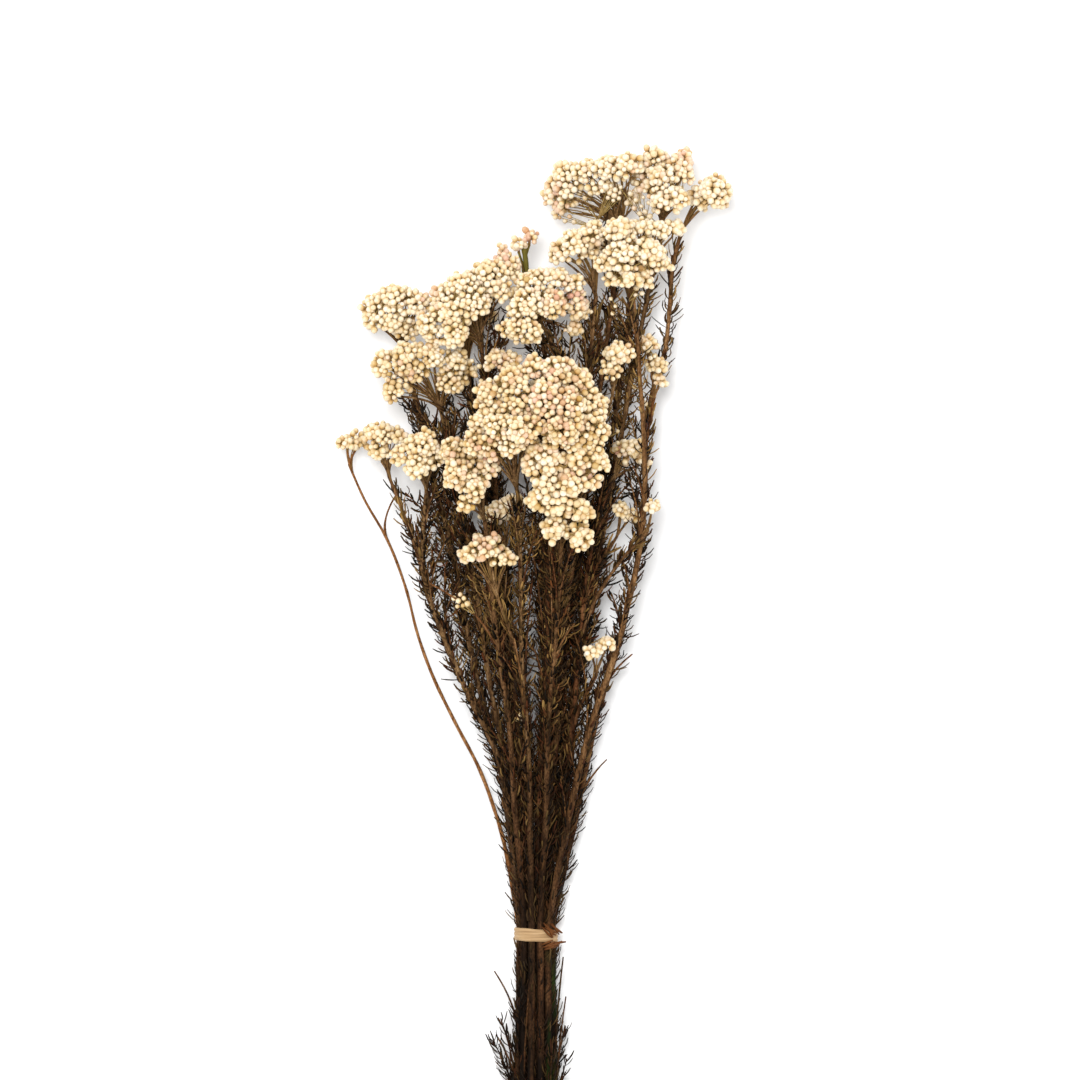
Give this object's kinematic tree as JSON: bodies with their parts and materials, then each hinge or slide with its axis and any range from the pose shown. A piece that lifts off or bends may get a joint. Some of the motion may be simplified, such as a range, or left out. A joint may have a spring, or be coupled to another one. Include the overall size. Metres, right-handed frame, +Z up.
{
  "type": "dried rice flower bunch",
  "caption": "Tied bunch of dried rice flower that lies on a surface: woody stems with needle leaves fan out to clustered heads of small cream buds.",
  "frame": {"origin": "on the surface that the bunch lies on, under the middle of its outline", "axes": "+Y along the bunch, from the cut ends to the flowers; +X to the right, seen from above; +Z up from the surface"},
  "size_m": [0.2185, 0.5498, 0.112],
  "materials": {
    "stem_wood": "matte",
    "dried_buds": "matte",
    "tie_ribbon": "matte"
  },
  "bodies": {
    "root": {"head_back_left": "dried_buds", "head_back_low": "dried_buds", "head_back_mid": "dried_buds", "head_back_right": "dried_buds", "head_behind": "dried_buds", "head_dome": "dried_buds", "head_front_left": "dried_buds", "head_front_low": "dried_buds", "head_left": "dried_buds", "head_left_far": "dried_buds", "head_left_upper": "dried_buds", "head_low": "dried_buds", "head_low_back": "dried_buds", "head_lowest": "dried_buds", "head_mid": "dried_buds", "head_mid_left": "dried_buds", "head_mid_upper": "dried_buds", "head_outer": "dried_buds", "head_outer_left": "dried_buds", "head_right": "dried_buds", "head_right_edge": "dried_buds", "head_right_low": "dried_buds", "head_right_tiny": "dried_buds", "head_right_upper": "dried_buds", "head_sprig": "dried_buds", "head_top": "dried_buds", "head_top_left": "dried_buds", "head_top_right": "dried_buds", "head_upper": "dried_buds", "head_upper_left": "dried_buds", "stem_back_left": "stem_wood", "stem_back_mid": "stem_wood", "stem_back_right": "stem_wood", "stem_dome": "stem_wood", "stem_front_left": "stem_wood", "stem_front_low": "stem_wood", "stem_left": "stem_wood", "stem_left_far": "stem_wood", "stem_left_upper": "stem_wood", "stem_mid": "stem_wood", "stem_mid_left": "stem_wood", "stem_mid_upper": "stem_wood", "stem_outer_left": "stem_wood", "stem_right": "stem_wood", "stem_top": "stem_wood", "stem_top_left": "stem_wood", "stem_top_right": "stem_wood", "stem_upper": "stem_wood", "stem_upper_left": "stem_wood", "tie_band": "tie_ribbon"}
  },
  "joints": []
}
